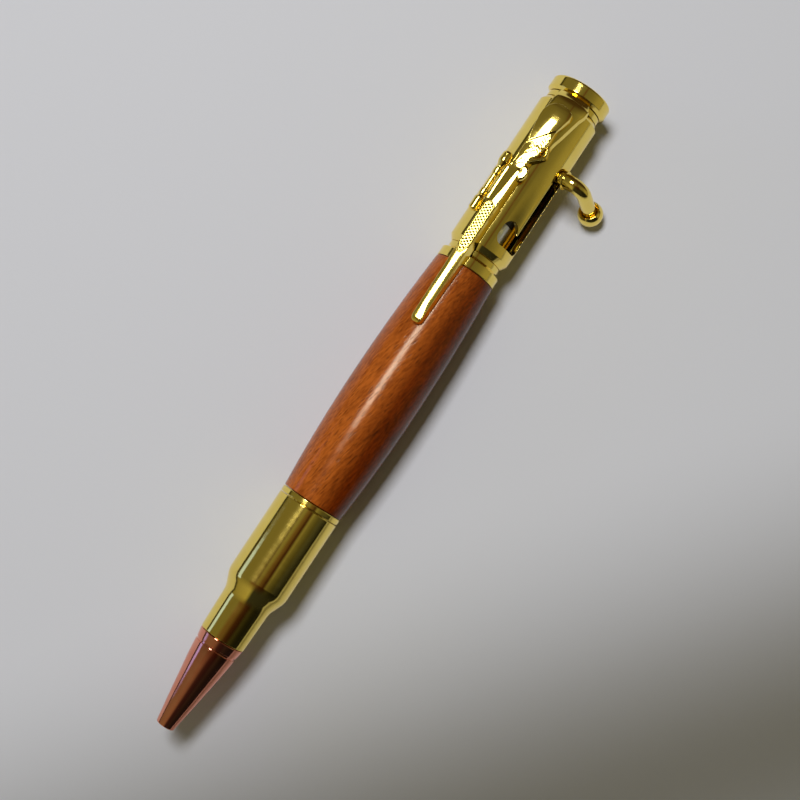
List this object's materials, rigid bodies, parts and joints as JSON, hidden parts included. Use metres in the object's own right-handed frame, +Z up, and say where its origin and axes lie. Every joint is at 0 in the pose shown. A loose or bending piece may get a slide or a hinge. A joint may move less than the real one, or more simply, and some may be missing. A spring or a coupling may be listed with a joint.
{
  "type": "bolt action ballpoint pen",
  "caption": "Bolt action ballpoint pen shaped like a rifle cartridge, with a swelling wood barrel, a bent bolt handle in a hooked slot and a rifle shaped clip.",
  "frame": {"origin": "bottom centre of the bounding box, on the surface that the pen lies on", "axes": "+X along the pen towards its cap end, +Z up from the surface, the bolt's handle towards -Y"},
  "size_m": [0.137, 0.0226, 0.0148],
  "materials": {
    "gold_plate": "mirror polished gold plate on brass",
    "copper_plate": "mirror polished copper plate on brass",
    "plain_brass": "plain turned brass",
    "bright_steel": "bright smooth steel",
    "spring_steel": "drawn spring wire",
    "hardwood": "polished red brown hardwood",
    "black_plastic": "moulded, matt"
  },
  "bodies": {
    "barrel": {"wood_barrel": "hardwood", "barrel_tube": "plain_brass", "front_bush": "gold_plate", "rear_collar": "gold_plate", "bolt_housing": "gold_plate", "end_bush": "plain_brass", "end_cap": "gold_plate", "primer_disc": "gold_plate"},
    "spring_seat": {"return_spring": "spring_steel"},
    "front_section": {"front_shell": "gold_plate", "nose_cone": "copper_plate"},
    "bolt": {"bolt_piston": "bright_steel", "bolt_handle": "gold_plate", "bolt_knob": "gold_plate"},
    "refill": {"refill_tube": "bright_steel", "refill_nozzle": "plain_brass", "refill_point": "bright_steel", "refill_plug": "black_plastic"},
    "writing_ball": {"refill_ball": "bright_steel"},
    "clip": {"rifle_clip": "gold_plate"}
  },
  "joints": [
    {"name": "bolt_slide", "type": "slide", "parent": "barrel", "child": "bolt", "axis": [-0.9999, 0, 0.0152], "range_m": [0, 0.0152], "stiffness_N_per_m": 80, "springref_m": -0.012, "deforming": ["return_spring"]},
    {"name": "refill_slide", "type": "slide", "parent": "barrel", "child": "refill", "axis": [-0.9999, 0, 0.0152], "range_m": [0, 0.0152]},
    {"name": "ball_roll", "type": "hinge", "parent": "refill", "child": "writing_ball", "pos_m": [-0.05687, 0.00441, 0.00788], "axis": [0, 1, 0], "continuous": true},
    {"name": "front_draw", "type": "slide", "parent": "barrel", "child": "spring_seat", "axis": [-0.9999, 0, 0.0152], "range_m": [0, 0.0045]},
    {"name": "front_turn", "type": "hinge", "parent": "spring_seat", "child": "front_section", "pos_m": [-0.02229, 0.00441, 0.00735], "axis": [-0.9999, 0, 0.0152], "range_deg": [0, 2160]},
    {"name": "clip_flex", "type": "hinge", "parent": "barrel", "child": "clip", "pos_m": [0.06493, 0.00441, 0.00602], "axis": [-0.0042, 0.9605, -0.2784], "range_deg": [0, 1.5], "stiffness_Nm_per_rad": 2}
  ],
  "couplings": [
    {"joint": "refill_slide", "follows": "bolt_slide", "ratio": 1},
    {"joint": "front_draw", "follows": "front_turn", "m_per_rad": 0.00011936}
  ]
}
